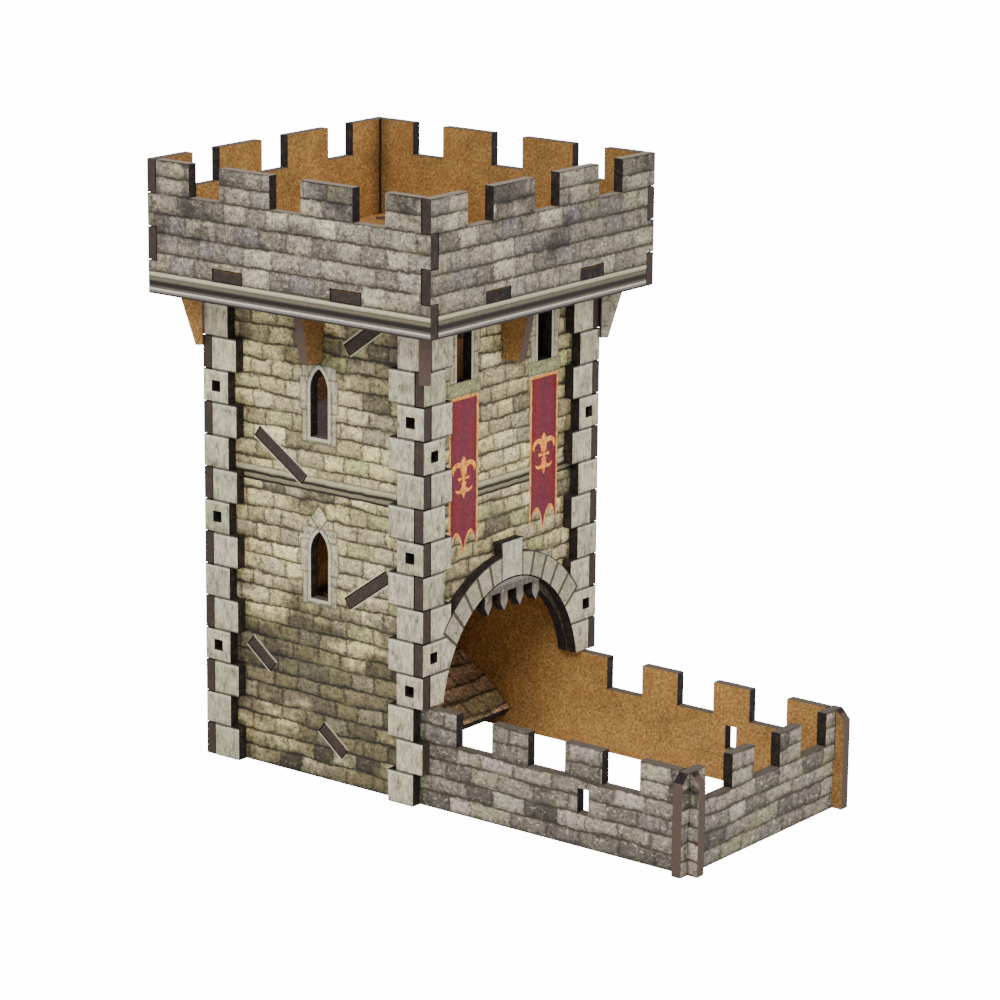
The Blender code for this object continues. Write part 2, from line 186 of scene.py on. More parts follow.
class Paint:
    """Adds nodes to one node tree."""

    def __init__(self, tree):
        self.tree = tree

    def node(self, kind, feeds, output=0, **settings):
        made = self.tree.nodes.new(kind)
        for name, value in settings.items():
            setattr(made, name, value)
        for key, value in feeds.items():
            self.feed(made.inputs[key], value)
        return Num(self, made.outputs[output])

    def feed(self, socket, value):
        if isinstance(value, Num):
            self.tree.links.new(value.socket, socket)
        elif socket.type == "VECTOR":
            socket.default_value = value[:3]
        else:
            socket.default_value = value

    def math(self, operation, *values):
        return self.node("ShaderNodeMath", dict(enumerate(values)), operation=operation)

    def join(self, x, y, z=0.0):
        return self.node("ShaderNodeCombineXYZ", {0: x, 1: y, 2: z})

    def dot(self, vector, direction):
        return self.node("ShaderNodeVectorMath", {0: vector, 1: direction}, "Value",
                         operation="DOT_PRODUCT")

    def scale(self, colour, factor):
        return self.node("ShaderNodeVectorMath", {0: colour, "Scale": factor}, operation="SCALE")

    def mix(self, factor, first, second, blend="MIX"):
        return self.node("ShaderNodeMix", {0: factor, 6: first, 7: second}, 2,
                         data_type="RGBA", blend_type=blend)

    def noise(self, u, v, scale_u, scale_v, seed=0.0, detail=2.0, roughness=0.5):
        place = self.join(u * scale_u, v * scale_v, seed)
        return self.node("ShaderNodeTexNoise", {"Vector": place, "Scale": 1.0, "Detail": detail,
                                                "Roughness": roughness})

    def ramp(self, value, stops):
        made = self.tree.nodes.new("ShaderNodeValToRGB")
        self.feed(made.inputs[0], value)
        ramp = made.color_ramp
        while len(ramp.elements) < len(stops):
            ramp.elements.new(0.5)
        for element, (position, colour) in zip(ramp.elements, stops):
            element.position = position
            element.color = srgb(*colour)
        return Num(self, made.outputs[0])

    def chance(self, number):
        """A random share for each whole number."""
        return self.node("ShaderNodeTexWhiteNoise", {"W": number}, noise_dimensions="1D")

    def box(self, u, v, centre, half, angle=0.0):
        """Distance outside a turned rectangle, negative inside."""
        cos_a = math.cos(math.radians(angle))
        sin_a = math.sin(math.radians(angle))
        off_u = u - centre[0]
        off_v = v - centre[1]
        along = off_u * cos_a + off_v * sin_a
        across = off_v * cos_a - off_u * sin_a
        return (abs(along) - half[0]).most(abs(across) - half[1])


# ---------------------------------------------------------------- printed stone

# Random tones of stones, as places along a ramp and displayed colours
RUBBLE_TONES = ((0.0, (104, 95, 72)), (0.14, (184, 170, 118)), (0.3, (216, 202, 142)),
                (0.42, (156, 143, 104)), (0.55, (200, 184, 134)), (0.68, (148, 136, 112)),
                (0.8, (228, 216, 164)), (0.92, (182, 164, 126)), (1.0, (168, 167, 108)))
CROWN_TONES = ((0.0, (104, 96, 86)), (0.2, (138, 128, 110)), (0.36, (160, 150, 128)),
               (0.5, (122, 113, 104)), (0.64, (144, 134, 116)), (0.78, (120, 111, 108)),
               (0.9, (186, 177, 150)), (1.0, (136, 128, 108)))
TRAY_TONES = ((0.0, (84, 77, 70)), (0.25, (120, 111, 98)), (0.45, (143, 133, 115)), (0.6, (102, 94, 89)),
              (0.8, (162, 149, 136)), (0.92, (130, 126, 100)), (1.0, (108, 98, 93)))
QUOIN_TONES = ((0.0, (168, 162, 136)), (0.35, (192, 182, 154)), (0.65, (180, 168, 146)),
               (1.0, (160, 158, 128)))
# Ramp stones: partly print tones and partly a warm brown tint of painted shade and painted reflection
# inside the tower
RAMP_TONES = ((0.0, (128, 102, 78)), (0.3, (176, 142, 108)), (0.55, (150, 118, 96)), (0.8, (190, 158, 116)),
              (1.0, (140, 124, 86)))

# Mouldings, from their foot to their top
STRING_STOPS = ((0.0, (30, 25, 16)), (0.13, (38, 31, 20)), (0.19, (118, 110, 88)), (0.36, (130, 122, 98)),
                (0.42, (32, 26, 17)), (0.55, (32, 26, 17)), (0.61, (118, 110, 86)),
                (0.76, (180, 172, 138)), (0.9, (170, 162, 130)), (1.0, (54, 47, 32)))
CORNICE_STOPS = ((0.0, (36, 30, 25)), (0.07, (50, 44, 38)), (0.11, (124, 114, 110)),
                 (0.17, (132, 122, 116)), (0.2, (200, 192, 178)), (0.25, (206, 198, 182)),
                 (0.28, (98, 90, 82)), (0.35, (88, 80, 72)), (0.4, (32, 26, 18)), (0.55, (26, 20, 13)),
                 (0.6, (86, 80, 64)), (0.68, (114, 108, 88)), (0.76, (88, 82, 65)),
                 (0.83, (176, 168, 140)), (0.93, (204, 195, 164)), (1.0, (50, 43, 31)))

MORTAR = srgb(58, 50, 34)
QUOIN_JOINT = srgb(66, 64, 48)
PALE_LINE = srgb(196, 190, 168)
DARK_LINE = srgb(52, 46, 36)
ARRIS = srgb(214, 208, 190)
SOOT = srgb(90, 83, 86)
SMOKE = srgb(118, 110, 122)
MOSS = srgb(140, 140, 84)
CREAM = srgb(226, 214, 172)
PIT = srgb(74, 66, 50)
HOOD_STONE = srgb(190, 180, 144)
SILL_STONE = srgb(146, 146, 104)
KEYSTONE = srgb(182, 174, 154)
BAFFLE_MAUVE = srgb(140, 116, 122)
# bare board of the middle baffle, darkened as painted shade inside the tower
SHADED_BAFFLE_BARE = srgb(112, 72, 38)
IRON = srgb(90, 84, 76)
IRON_TIP = srgb(160, 150, 142)
IRON_BAR = srgb(160, 150, 146)


def cell(p, along):
    """Random cells along a line: two random numbers for each cell, and how near its closer end is."""
    feeds = {"W": along, "Scale": 1.0, "Randomness": 0.75}
    picked = p.node("ShaderNodeTexVoronoi", feeds, "Color", voronoi_dimensions="1D")
    first = p.node("ShaderNodeSeparateColor", {0: picked})
    second = Num(p, first.socket.node.outputs[1])
    ends = p.node("ShaderNodeTexVoronoi", feeds, "Distance", voronoi_dimensions="1D",
                  feature="DISTANCE_TO_EDGE")
    return first, second, ends


def mottled(p, u, v, colour, seed, stretch=1.0, strength=1.0):
    """Blotches, cream patches and dark pits over a printed stone."""
    blotch = p.noise(u, v, 0.35, 0.35 / stretch, seed + 11, 3.0, 0.6) - 0.5
    speckle = p.noise(u, v, 0.8, 0.8 / stretch, seed + 23, 4.0, 0.75) - 0.5
    grit = p.noise(u, v, 1.9, 1.9 / stretch, seed + 29, 3.0, 0.7) - 0.5
    factor = blotch * (1.5 * strength) + speckle * (2.8 * strength) + grit * (2.0 * strength)
    colour = p.scale(colour, factor + 1.0)
    pale = p.noise(u, v, 0.62, 0.75 / stretch, seed + 13, 3.0, 0.65).between(0.55, 0.7)
    colour = p.mix(pale * (0.55 * strength), colour, CREAM)
    dark = p.noise(u, v, 0.7, 0.8 / stretch, seed + 17, 3.0, 0.65).between(0.44, 0.3)
    return p.mix(dark * (0.7 * strength), colour, PIT)


def rubble(p, u, v, tones, seed, course=COURSE, stone=STONE, sway=2.6, upright=0.7):
    """Courses of stones of random length, with mortar, a light upper edge and a dark lower one."""
    swell = p.noise(u, v, 0.06, 0.24, seed + 3, 2.0) - 0.5
    wander = p.noise(u, v, 0.4, 0.5, seed + 5, 3.0) - 0.5
    level = (v + swell * sway + wander * 1.1) / course
    row = level.floor()
    height = level - row
    shift = p.noise(u, v, 0.4, 0.5, seed + 7, 3.0) - 0.5
    pick, shade, ends = cell(p, (u + shift * 2.6) / stone + row * 17.37 + seed)
    colour = mottled(p, u, v, p.ramp(pick, tones), seed, 1.0, 1.12)
    colour = p.scale(colour, shade * 0.4 + 0.84)
    crest = height.between(0.55, 0.84) * 0.22
    foot = height.between(0.42, 0.08) * 0.3
    colour = p.scale(colour, crest - foot + 1.0)
    rough = (p.noise(u, v, 0.9, 0.9, seed + 31, 3.0) - 0.5) * 0.8
    bed = height.least(1.0 - height) * course + rough
    head = ends * stone + rough
    faint = p.noise(u, v, 0.1, 0.22, seed + 41, 3.0, 0.6)
    beds = bed.between(0.52, 0.12) * faint.between(0.28, 0.46)
    heads = head.between(0.44, 0.12) * (faint.between(0.3, 0.52) * upright)
    soft = bed.least(head).between(1.3, 0.2) * 0.28
    colour = p.scale(colour, 1.0 - soft)
    return p.mix(beds.most(heads) * 0.95, colour, MORTAR)


def weathered(p, u, v, colour, seed, soot=0.6, moss=0.22, low=0.0, high=400.0):
    """Large sooty and mossy patches, thickest below one height and above another."""
    bias = v.between(low, low - 22.0) * 0.21 + v.between(high, high + 18.0) * 0.13 - 0.03
    cloud = p.noise(u, v, 0.04, 0.055, seed + 51, 4.0, 0.65) + bias
    dark = cloud.between(0.5, 0.66)
    colour = p.mix(dark * soot, colour, SOOT, "MULTIPLY")
    green = p.noise(u, v, 0.08, 0.11, seed + 61, 3.0, 0.7).between(0.56, 0.7)
    return p.mix(green * moss, colour, MOSS)


def line(distance, width):
    """1 on a line where distance is near 0, fading over its width in mm."""
    return abs(distance).between(width, width * 0.3)


def quoin_print(p, u, v, seed):
    """Dressed quoin stones, one to a row: light, softly streaked, with a dark joint and a light arris."""
    level = v / ROW
    number = level.floor()
    height = (level - number) * ROW
    chance = p.chance(number + seed)
    colour = mottled(p, u, v, p.ramp(chance, QUOIN_TONES), seed, 3.2, 0.95)
    wander = (p.noise(u, v, 0.7, 0.7, seed + 3) - 0.5) * 0.4
    below = height + wander
    above = ROW - height + wander
    colour = p.mix(above.between(1.5, 0.7) * 0.5, colour, ARRIS)
    colour = p.scale(colour, 1.0 - below.between(2.2, 0.4) * 0.16)
    joint = below.least(above)
    return p.mix(joint.between(0.48, 0.26) * 0.95, colour, QUOIN_JOINT)


def lancet_distance(p, u, v, centre, sill):
    """Distance outside a pointed window, negative inside."""
    radius = (WINDOW_RISE ** 2 + WINDOW_HALF ** 2) / (2 * WINDOW_HALF)
    across = abs(u - centre) + (radius - WINDOW_HALF)
    climb = (v - (sill + WINDOW_WALL)).most(0.0)
    return (p.math("SQRT", across * across + climb * climb) - radius).most(sill - v)


def window_frame(p, u, v, colour, centre, sill, seed):
    """Tall blocks of dressed stone beside a window, and a pale line along its edge."""
    level = (v - sill + 2.0) / ROW
    number = level.floor()
    height = (level - number) * ROW
    shift = (p.noise(u, v, 0.3, 0.3, seed + 5.0) - 0.5) * 0.8
    half = p.math("PINGPONG", number, 1.0) * 0.7 + (WINDOW_HALF + FRAME_SIDE)
    outside = (abs(u - centre) + shift - half).most(abs(v - (sill + FRAME_MIDDLE)) + shift - FRAME_HALF)
    chance = p.chance(number + seed)
    blocks = mottled(p, u, v, p.scale(p.ramp(chance, QUOIN_TONES), 0.9), seed, 1.8, 1.0)
    joints = height.least(ROW - height).between(0.42, 0.15) * 0.7
    blocks = p.mix(joints, blocks, QUOIN_JOINT)
    colour = p.mix(outside.between(0.2, -0.2) * 0.85, colour, blocks)
    colour = p.mix(line(outside, 0.45) * 0.5, colour, MORTAR)
    edge = lancet_distance(p, u, v, centre, sill)
    colour = p.mix(edge.between(1.05, 0.75) * 0.6, colour, PALE_LINE)
    return p.mix(line(edge - 1.2, 0.3) * 0.55, colour, DARK_LINE)


def banded(p, u, v, colour, seed):
    """The string course that runs round the tower half way up, a little worn."""
    foot = STRING_COURSE - STRING_HEIGHT / 2
    drift = (p.noise(u, v, 0.3, 0.3, seed + 71, 3.0) - 0.5) * 0.7
    share = (v + drift - foot) / STRING_HEIGHT
    band = p.scale(p.ramp(share, STRING_STOPS), p.noise(u, v, 0.5, 0.9, seed + 73, 4.0, 0.7) + 0.5)
    return p.mix(share.between(-0.02, 0.02) * share.between(1.02, 0.98), colour, band)


def hood(p, u, v, colour, sill):
    """A lozenge-shaped stone over a window's point."""
    lozenge = abs(u) / HOOD_HALF[0] + abs(v - (sill + HOOD_MIDDLE)) / HOOD_HALF[1] - 1.0
    stone = mottled(p, u, v, HOOD_STONE, sill)
    colour = p.mix(lozenge.between(0.02, -0.02), colour, stone)
    return p.mix(line(lozenge, 0.16) * 0.75, colour, MORTAR)


def stained(p, u, v, colour, seed):
    """Ragged smoke stains on a side wall."""
    ragged = p.noise(u, v, 0.22, 0.3, seed + 81, 4.0, 0.7) - 0.5
    for centre, reach in STAINS:
        off_u = (u - centre[0]) / reach[0]
        off_v = (v - centre[1]) / reach[1]
        distance = p.math("SQRT", off_u * off_u + off_v * off_v) + ragged * 1.6
        colour = p.mix(distance.between(1.0, 0.45) * 0.55, colour, SMOKE, "MULTIPLY")
    return colour


def side_print(p, u, v, seed):
    """Tower wall with windows, string course and tab outlines; greyer stone along the tray."""
    colour = weathered(p, u, v, rubble(p, u, v, RUBBLE_TONES, seed), seed, 0.8, 0.25, *SOOT_BANDS)
    colour = stained(p, u, v, colour, seed)
    tray = weathered(p, u, v, rubble(p, u, v, TRAY_TONES, seed + 5, stone=TRAY_STONE), seed + 2, 0.6, 0.2)
    colour = p.mix(u.between(TRAY_START + 0.2, TRAY_START - 0.2), colour, tray)
    tower = banded(p, u, v, colour, seed)
    colour = p.mix(u.between(TRAY_START - 1.0, TRAY_START), colour, tower)
    for sill in SIDE_SILLS:
        colour = window_frame(p, u, v, colour, 0.0, sill, seed + sill)
    colour = hood(p, u, v, colour, SIDE_SILLS[0])
    for centre, angle, length in TABS:
        edge = p.box(u, v, centre, (length / 2 - 0.2, BOARD / 2 + 0.3), angle)
        colour = p.mix(edge.between(0.6, 0.35) * 0.6, colour, PALE_LINE)
    return colour


def ring_share(p, u, v):
    """Distance from the arch's centre, as a share of the ring's outer edge."""
    across = u / RING_HALF
    climb = (v - ARCH_CENTRE_Z) / RING_RISE
    return p.math("SQRT", across * across + climb * climb)


def front_print(p, u, v, seed):
    """Front of the tower: string course, two windows over sill blocks, a shadow behind the arch ring."""
    colour = weathered(p, u, v, rubble(p, u, v, RUBBLE_TONES, seed), seed, 0.6, 0.25, SOOT_BANDS[0])
    colour = banded(p, u, v, colour, seed)
    colour = p.mix(ring_share(p, u, v).between(0.99, 0.95) * 0.8, colour, DARK_LINE)
    for centre in (-FRONT_WINDOW_X, FRONT_WINDOW_X):
        block = p.box(u, v, (centre, SILL_BLOCK_Z), SILL_BLOCK_HALF)
        sill = mottled(p, u, v, SILL_STONE, seed + centre, 1.0, 0.9)
        sill = p.mix(line(block, 0.5) * 0.6, sill, MORTAR)
        colour = window_frame(p, u, v, colour, centre, FRONT_SILL, seed + centre)
        colour = p.mix(block.between(0.15, -0.15), colour, sill)
    return colour


def back_print(p, u, v, seed):
    """Plain back of the tower with its string course."""
    colour = weathered(p, u, v, rubble(p, u, v, RUBBLE_TONES, seed), seed, 0.8, 0.25, *SOOT_BANDS)
    return banded(p, u, v, colour, seed)


def crown_print(p, u, v, seed):
    """Greyer stones over a moulded cornice, two courses to a merlon, darker towards one upper corner."""
    base = CROWN_FOOT + CORNICE_HEIGHT
    merlon = (v - (base + PARAPET)).most(0.0) * (CROWN_COURSE / COURSE)
    rise = (v - base).least(PARAPET) + merlon
    colour = rubble(p, u, rise, CROWN_TONES, seed, CROWN_COURSE, sway=0.7, upright=0.35)
    colour = p.scale(colour, p.noise(u, v, 1.7, 0.8, seed + 91, 3.0, 0.7) * 1.6 + 0.18)
    colour = p.scale(weathered(p, u, v, colour, seed, 0.8, 0.12, 0.0, base + 16.0), 0.95)
    far = u.between(0.0, 24.0) * v.between(base + 4.0, base + 18.0)
    colour = p.scale(colour, 1.04 - far * 0.2)
    streaks = p.noise(u, v, 0.5, 1.4, seed + 93, 3.0, 0.7) * 0.9 + 0.5
    cornice = p.scale(p.ramp((v - CROWN_FOOT) / CORNICE_HEIGHT, CORNICE_STOPS), streaks)
    return p.mix(v.between(base + 0.1, base - 0.1), colour, cornice)


def crown_front_print(p, u, v, seed):
    """The crown's print, darkened on the front as painted shade."""
    return p.scale(crown_print(p, u, v, seed), 0.87)


def tray_print(p, u, v, seed):
    """Grey stones of the tray's end."""
    return weathered(p, u, v, rubble(p, u, v, TRAY_TONES, seed, stone=TRAY_STONE), seed, 0.5, 0.35)


def ramp_print(p, u, v, seed):
    """Rough, wavy courses."""
    colour = rubble(p, u, v, RAMP_TONES, seed, RAMP_COURSE, RAMP_STONE, 4.0)
    return weathered(p, u, v, colour, seed, 0.5, 0.15)


def baffle_print(p, u, v, seed):
    """A mauve print that stops short of the board's upper end; the bare board beyond is darkened as painted
    shade.
    """
    mauve = mottled(p, u, v, BAFFLE_MAUVE, seed, 1.0, 0.6)
    bare = mottled(p, u, v, SHADED_BAFFLE_BARE, seed + 5, 1.0, 0.6)
    return p.mix(v.between(BAFFLE_PRINT_END - 0.3, BAFFLE_PRINT_END + 0.3), mauve, bare)


def facing_print(p, u, v, seed):
    """Front quoins with the arch ring: voussoirs turn about the arch, and the keystone stands on top."""
    colour = quoin_print(p, u, v, seed)
    aside = abs(u)
    turn = p.math("ARCTAN2", (v - ARCH_CENTRE_Z) / ARCH_RISE, aside / ARCH_HALF) * (180 / math.pi)
    outer = ring_share(p, u, v)
    step = (KEYSTONE_TURN - ARCH_SPRING) / VOUSSOIRS
    degree = math.pi / 180 * RING_HALF     # length of one degree along the ring's edge
    stone = (turn - ARCH_SPRING) / step
    number = stone.floor()
    share = stone - number
    side = u.between(-0.1, 0.1)
    chance = p.chance(number + side * 9.0 + seed)
    ring = mottled(p, u, v, p.scale(p.ramp(chance, QUOIN_TONES), 0.76), seed + 3, 1.0, 0.75)
    joint = share.least(1.0 - share) * (step * degree)
    ring = p.mix(joint.between(0.75, 0.4) * 0.95, ring, QUOIN_JOINT)
    in_ring = outer.between(1.002, 0.998) * turn.between(ARCH_SPRING - 0.1, ARCH_SPRING + 0.1)
    rim = line((outer - 1.0) * RING_RISE, 0.55) * turn.between(ARCH_SPRING - 1, ARCH_SPRING)
    colour = p.mix(in_ring, colour, ring)
    spring = line((turn - ARCH_SPRING) * degree, 0.6) * outer.between(1.01, 1.0)
    colour = p.mix(rim.most(spring) * 0.95, colour, QUOIN_JOINT)
    key_edge = aside - (KEYSTONE_HALF + 0.3)
    key = key_edge.between(0.15, -0.15) * v.between(ARCH_CENTRE_Z + 20, ARCH_CENTRE_Z + 21)
    colour = p.mix(key, colour, mottled(p, u, v, KEYSTONE, seed + 9, 2.0, 0.8))
    return p.mix(line(key_edge, 0.5) * v.between(52.0, 54.0) * 0.85, colour, QUOIN_JOINT)


def corbel_print(p, u, v, seed):
    """Plain stone, darkened as painted shade."""
    stone = p.scale(p.ramp(p.noise(u, v, 0.2, 0.2, seed), QUOIN_TONES), 0.62)
    return mottled(p, u, v, stone, seed, 1.5, 0.8)


def iron_print(p, u, v, seed):
    """Grey forged spikes with paler tips and a pale band across the top."""
    colour = mottled(p, u, v, IRON, seed, 3.0, 0.8)
    colour = p.mix(v.between(54.0, 50.5) * 0.5, colour, IRON_TIP)
    return p.mix(v.between(55.6, 56.6) * v.between(58.5, 57.0) * 0.4, colour, IRON_BAR)


# ---------------------------------------------------------------- board

FIBRE_TONES = ((0.32, (112, 70, 28)), (0.45, (158, 114, 56)), (0.54, (182, 138, 76)),
               (0.68, (214, 172, 108)))
CHAR_TONES = ((0.32, (8, 6, 4)), (0.5, (22, 15, 12)), (0.68, (58, 42, 34)))
PATCH = srgb(158, 96, 42)
FLECK = srgb(98, 60, 26)
LIT_END_BROWN = srgb(104, 86, 74)              # charred ends made paler as painted light
# Painted light: paler charred edges on the corbels, and grey where edges face up
LIT_CORBEL_EDGE = srgb(122, 98, 86)
TOP_LIT_GREY = srgb(148, 134, 118)
RELIEF_DEPTH = 0.00012                     # metres

SIDE_BOARDS = ("left_side_board", "right_side_board")
NEAR_CROWN_WALLS = ("crown_left_wall", "crown_front_wall")

# How much paler, as painted light, a board's end faces are than its other edges, where it isn't the usual
# share
END_PAINTED_LIGHT_USUAL = 0.24
END_PAINTED_LIGHT = {"crown_floor": 0.16, "tray_end_wall": 0.55, "left_side_board": 0.55, "right_side_board": 0.55,
             "crown_left_wall": 0.12, "crown_front_wall": 0.12}
# Painted shade on the corbels' bare faces: how far each is darkened
CORBEL_PAINTED_SHADE_USUAL = 0.66
CORBEL_PAINTED_SHADE = {"front_left_corner_corbel": 0.35, "back_left_corner_corbel": 0.8}
FLAT_FACE = (0.90, 0.97)                   # how far a normal may lean and still be on the board's face
SHAFT_PAINTED_SHADE = (58.0, 80.0)                  # heights between which painted shade darkens the shaft's bare sides


def hardboard_group():
    """Bare hardboard and laser-cut edge, shared by every board: colours and fine relief."""
    tree = bpy.data.node_groups.new("hardboard", "ShaderNodeTree")
    for name in ("Bare", "Edge"):
        tree.interface.new_socket(name, in_out="OUTPUT", socket_type="NodeSocketColor")
    tree.interface.new_socket("Relief", in_out="OUTPUT", socket_type="NodeSocketFloat")
    p = Paint(tree)
    place = p.scale(p.node("ShaderNodeTexCoord", {}, "Object"), 1 / MM)

    def noise(scale, detail, roughness):
        return p.node("ShaderNodeTexNoise", {"Vector": place, "Scale": scale, "Detail": detail,
                                             "Roughness": roughness})

    fibre = noise(1.3, 5.0, 0.75)
    cloud = noise(0.09, 4.0, 0.6)
    flecks = noise(2.6, 2.0, 0.6).between(0.6, 0.72)
    bare = p.ramp(fibre, FIBRE_TONES)
    patches = noise(0.4, 3.0, 0.6)
    bare = p.mix(patches.between(0.48, 0.66) * 0.4, bare, PATCH)
    bare = p.scale(bare, cloud * 1.1 + 0.35)
    bare = p.mix(flecks * 0.35, bare, FLECK)
    char = noise(0.5, 4.0, 0.7)
    edge = p.ramp(char, CHAR_TONES)
    out = tree.nodes.new("NodeGroupOutput")
    p.feed(out.inputs["Bare"], bare)
    p.feed(out.inputs["Edge"], edge)
    p.feed(out.inputs["Relief"], fibre)
    return tree


HARDBOARD = hardboard_group()


def edge_colour(p, name, u, normal, charred, end_reach):
    """Charred edges, with painted light: paler on open ends, on the corbels and where they face up."""
    if name in SIDE_BOARDS:
        ends = u.between(TRAY_END - 1.0, TRAY_END - 1.5)
    else:
        ends = abs(u).between(end_reach - 0.35, end_reach - 0.15)
    # painted light on open ends
    charred = p.mix(ends * END_PAINTED_LIGHT.get(name, END_PAINTED_LIGHT_USUAL), charred, LIT_END_BROWN)
    if "corbel" in name:
        # painted light on the corbels' charred edges
        charred = p.mix(0.4, charred, LIT_CORBEL_EDGE)
    if "crown" in name or name in SIDE_BOARDS or name == "tray_end_wall":
        upward = 0.75 if name in NEAR_CROWN_WALLS else 0.3
        # painted light on edges that face up
        charred = p.mix(p.dot(normal, Z).between(0.8, 0.95) * upward, charred, TOP_LIT_GREY)
    return charred


def back_colour(p, name, u, v, stock, charred, end_reach):
    """The bare side: scorched behind the corner fingers, with painted shade in the shaft, on the tray
    stubs, inside the crown and on the corbels.
    """
    back = stock
    if "corbel" in name:
        # painted shade on the corbels' bare faces
        back = p.scale(stock, CORBEL_PAINTED_SHADE.get(name, CORBEL_PAINTED_SHADE_USUAL))
    elif name not in SIDE_BOARDS:
        back = p.mix(abs(u).between(end_reach - 3.7, end_reach - 3.3) * 0.9, stock, charred)
    if "crown" in name and "wall" in name:
        # painted shade towards the crown's inner corners, deeper on the right wall
        shade = 0.82 if name == "crown_right_wall" else 0.97
        back = p.scale(back, (1.0 - abs(u).between(end_reach - 9.0, end_reach - 2.5) * 0.5) * shade)
    if name in SIDE_BOARDS or name in ("front_wall", "back_wall"):
        # painted shade inside the shaft and on the tray stubs past the end wall
        inside = v.between(*SHAFT_PAINTED_SHADE) * u.between(TRAY_START - 0.5, TRAY_START)
        stub = u.between(TRAY_END + 0.2, TRAY_END - 0.2)
        back = p.scale(back, 1.0 - inside * 0.6 - stub * 0.38)
    return back


def board_finish(name, outward, across, up, pattern, seed, end_reach):
    """A board's finish: its pattern on the side that faces outward, bare board behind, charred edges.

    across and up are the pattern's axes, and end_reach is how far the board's ends lie from the
    centre line. Without a pattern both faces are bare."""
    made = bpy.data.materials.new(f"{name}_finish")
    made.use_nodes = True
    p = Paint(made.node_tree)
    shader = made.node_tree.nodes["Principled BSDF"]
    coordinates = p.node("ShaderNodeTexCoord", {}, "Object")
    normal = Num(p, coordinates.socket.node.outputs["Normal"])
    place = p.node("ShaderNodeVectorMath", {0: coordinates, 1: (0, -CENTRE_Y, 0)}, operation="ADD")
    u = p.dot(place, across) * (1 / MM)
    v = p.dot(place, up) * (1 / MM)
    facing = p.dot(normal, outward)
    stock = p.node("ShaderNodeGroup", {}, "Bare", node_tree=HARDBOARD)
    outputs = stock.socket.node.outputs
    charred = edge_colour(p, name, u, normal, Num(p, outputs["Edge"]), end_reach)
    back = back_colour(p, name, u, v, stock, charred, end_reach)
    colour = p.mix(facing.between(-FLAT_FACE[0], -FLAT_FACE[1]), charred, back)
    printed = facing.between(*FLAT_FACE)
    colour = p.mix(printed, colour, pattern(p, u, v, seed) if pattern else stock)
    p.feed(shader.inputs["Base Color"], colour)
    roughness = Num(p, outputs["Relief"]) * 0.2
    p.feed(shader.inputs["Roughness"], printed * (-0.12 if pattern else 0.0) + 0.68 + roughness)
    bump = p.node("ShaderNodeBump", {"Height": Num(p, outputs["Relief"]), "Distance": RELIEF_DEPTH,
                                     "Strength": 0.35})
    p.feed(shader.inputs["Normal"], bump)
    shader.inputs["Specular IOR Level"].default_value = 0.35
    return made


def negative(vector):
    return tuple(-value for value in vector)


def diagonal(x, y):
    return (x * math.sqrt(0.5), y * math.sqrt(0.5), 0)


def slope_axes(angle):
    """Outward normal and uphill axis of a sloped board whose length is turned by an angle in y and z."""
    cos_a = math.cos(math.radians(angle))
    sin_a = math.sin(math.radians(angle))
    uphill = (0, cos_a, sin_a)
    outward = (0, -sin_a, cos_a) if cos_a > 0 else (0, sin_a, -cos_a)
    return outward, uphill


def finish_boards():
    """One finish for each board, by the side that carries its print."""
    corner = 2 * CROWN_HALF                # past the end of any corner corbel
    jobs = [
        ("left_side_board", negative(X), Y, Z, side_print, WALL_HALF),
        ("right_side_board", X, Y, Z, side_print, WALL_HALF),
        ("front_wall", negative(Y), X, Z, front_print, WALL_HALF),
        ("back_wall", Y, X, Z, back_print, WALL_HALF),
        ("front_facing", negative(Y), X, Z, facing_print, FACING_HALF),
        ("portcullis", negative(Y), X, Z, iron_print, FACING_HALF),
        ("tray_end_wall", negative(Y), X, Z, tray_print, FACING_HALF),
        ("crown_front_wall", negative(Y), X, Z, crown_front_print, CROWN_HALF),
        ("crown_back_wall", Y, X, Z, crown_print, CROWN_HALF),
        ("crown_left_wall", negative(X), Y, Z, crown_print, CROWN_HALF),
        ("crown_right_wall", X, Y, Z, crown_print, CROWN_HALF),
        ("crown_floor", Z, X, Y, None, CROWN_HALF),
        ("front_corbel", X, Y, Z, corbel_print, CROWN_HALF),
        ("left_corbel", Y, X, Z, corbel_print, CROWN_HALF),
        ("right_corbel", negative(Y), X, Z, corbel_print, CROWN_HALF),
        ("back_corbel", negative(X), Y, Z, corbel_print, CROWN_HALF),
        ("front_right_corner_corbel", diagonal(-1, -1), diagonal(1, -1), Z, corbel_print, corner),
        ("back_left_corner_corbel", diagonal(1, 1), diagonal(1, -1), Z, corbel_print, corner),
        ("front_left_corner_corbel", diagonal(1, -1), diagonal(1, 1), Z, corbel_print, corner),
        ("back_right_corner_corbel", diagonal(-1, 1), diagonal(1, 1), Z, corbel_print, corner),
    ]
    for side, outward in (("left", negative(X)), ("right", X)):
        for end in ("front", "back"):
            jobs.append((f"{side}_quoin_strip_{end}", outward, Y, Z, quoin_print, FACING_HALF))
    for end in ("left", "right"):
        jobs.append((f"back_quoin_strip_{end}", Y, X, Z, quoin_print, FACING_HALF))
    slopes = (("upper_baffle", UPPER_TURN, None), ("middle_baffle", MIDDLE_TURN, baffle_print),
              ("lower_baffle", LOWER_TURN, None), ("exit_ramp", RAMP_TURN, ramp_print))
    for name, angle, pattern in slopes:
        outward, uphill = slope_axes(angle)
        jobs.append((name, outward, X, uphill, pattern, WALL_HALF))
    for number, (name, outward, across, up, pattern, end_reach) in enumerate(jobs):
        seed = 3.0 + 7.0 * number
        made = board_finish(name, outward, across, up, pattern, seed, end_reach)
        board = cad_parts[name]
        board.data.materials.clear()
        board.data.materials.append(made)
        soften(board)


